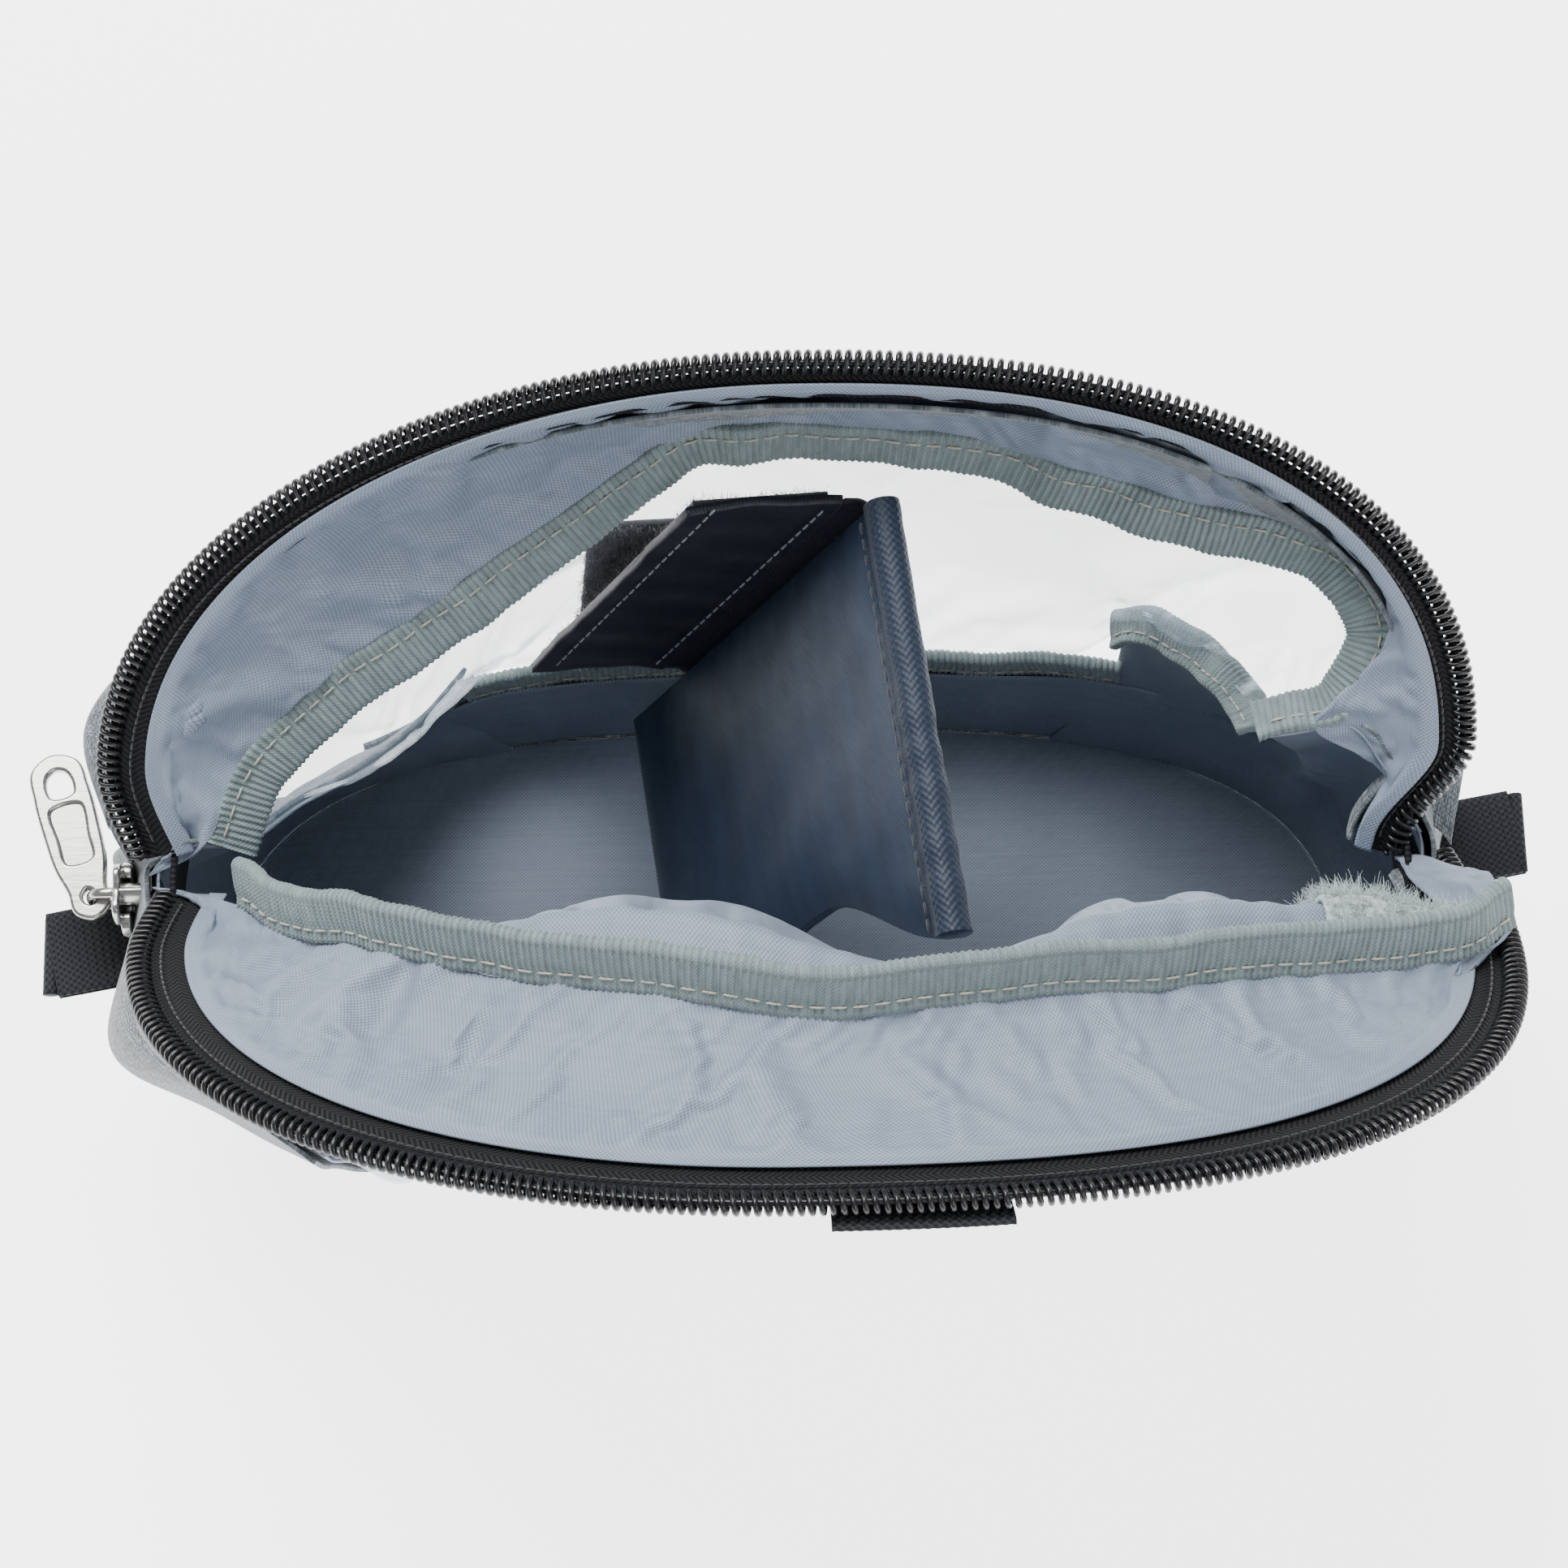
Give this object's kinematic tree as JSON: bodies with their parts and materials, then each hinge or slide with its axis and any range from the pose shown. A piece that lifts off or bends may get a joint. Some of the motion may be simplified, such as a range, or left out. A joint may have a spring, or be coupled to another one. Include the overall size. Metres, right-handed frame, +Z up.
{
  "type": "wide-mouth travel pouch",
  "caption": "Wide-mouth zipped travel pouch with clear front and rear windows, a front pocket, a padded divider held by a hook-and-loop flap, and a webbing tab at each end.",
  "frame": {"origin": "centre of the flat underside of the base", "axes": "+X along the pouch towards the end away from the slider, -Y to the front, +Z up"},
  "size_m": [0.2401, 0.1269, 0.1356],
  "materials": {
    "outer_fabric": "heather grey polyester, matte",
    "lining": "light blue-grey oxford nylon, soft sheen",
    "zip_tape": "black woven tape",
    "coil": "black nylon coil",
    "binding": "grey-green ribbed grosgrain",
    "film": "clear soft plastic film",
    "divider_fabric": "navy nylon over foam",
    "metal": "brushed nickel plate",
    "webbing": "black ribbed webbing",
    "hook_loop": "dark hook-and-loop tape"
  },
  "bodies": {
    "pouch": {"base_panel": "outer_fabric", "base_lining": "lining", "rear_lower_wall": "outer_fabric", "rear_lower_lining": "lining", "rear_lower_binding": "binding", "rear_window_film": "film", "rear_loop_strip": "hook_loop", "front_lower_wall": "outer_fabric", "front_lower_lining": "lining", "front_lower_binding": "binding", "front_window_film": "film", "front_pocket_binding": "binding", "front_pocket_panel": "lining", "pocket_loop_patch": "hook_loop", "left_gusset": "outer_fabric", "left_gusset_lining": "lining", "right_gusset": "outer_fabric", "right_gusset_lining": "lining", "left_zip_end": "zip_tape", "right_zip_end": "zip_tape"},
    "rear_rim": {"rear_zip_coil": "coil", "rear_zip_tape": "zip_tape", "rear_band_lining": "lining", "rear_band_outer": "outer_fabric", "rear_upper_binding": "binding"},
    "front_rim": {"front_zip_coil": "coil", "front_zip_tape": "zip_tape", "front_band_lining": "lining", "front_band_outer": "outer_fabric", "front_webbing_loop": "webbing"},
    "slider": {"slider_body": "metal", "slider_bail": "metal"},
    "puller": {"puller": "metal"},
    "divider": {"divider_foam": "divider_fabric", "divider_left_cover": "divider_fabric", "divider_right_cover": "divider_fabric", "divider_top_binding": "divider_fabric"},
    "divider_flap": {"divider_flap": "divider_fabric", "flap_hook_tape": "hook_loop"},
    "left_tab": {"left_tab": "webbing"},
    "right_tab": {"right_tab": "webbing"}
  },
  "joints": [
    {"name": "mouth_close", "type": "hinge", "parent": "pouch", "child": "front_rim", "pos_m": [0, 0, 0.075], "axis": [-1, 0, 0], "range_deg": [0, 45]},
    {"name": "rear_close", "type": "hinge", "parent": "pouch", "child": "rear_rim", "pos_m": [0, 0, 0.075], "axis": [1, 0, 0], "range_deg": [0, 45]},
    {"name": "slider_run", "type": "hinge", "parent": "pouch", "child": "slider", "pos_m": [0.0015, 0, 0.075], "axis": [0, 1, 0], "range_deg": [0, 180]},
    {"name": "puller_swing", "type": "hinge", "parent": "slider", "child": "puller", "pos_m": [-0.1111, 0, 0.065], "axis": [0, 0, 1], "range_deg": [0, 140]},
    {"name": "divider_lift", "type": "slide", "parent": "pouch", "child": "divider", "axis": [0, 0, 1], "range_m": [0, 0.155]},
    {"name": "flap_peel", "type": "hinge", "parent": "divider", "child": "divider_flap", "pos_m": [-0.02949, 0.04464, 0.01778], "axis": [0.3843, 0.0499, 0.9219], "range_deg": [0, 75]},
    {"name": "left_tab_flex", "type": "hinge", "parent": "pouch", "child": "left_tab", "pos_m": [-0.0997, -0.004, 0.0506], "axis": [0, -1, 0], "range_deg": [0, 60], "stiffness_Nm_per_rad": 0.02},
    {"name": "right_tab_flex", "type": "hinge", "parent": "pouch", "child": "right_tab", "pos_m": [0.0997, 0.008, 0.0506], "axis": [0, 1, 0], "range_deg": [0, 60], "stiffness_Nm_per_rad": 0.02}
  ],
  "couplings": [
    {"joint": "rear_close", "follows": "mouth_close", "ratio": 1},
    {"joint": "slider_run", "follows": "mouth_close", "ratio": 4}
  ]
}
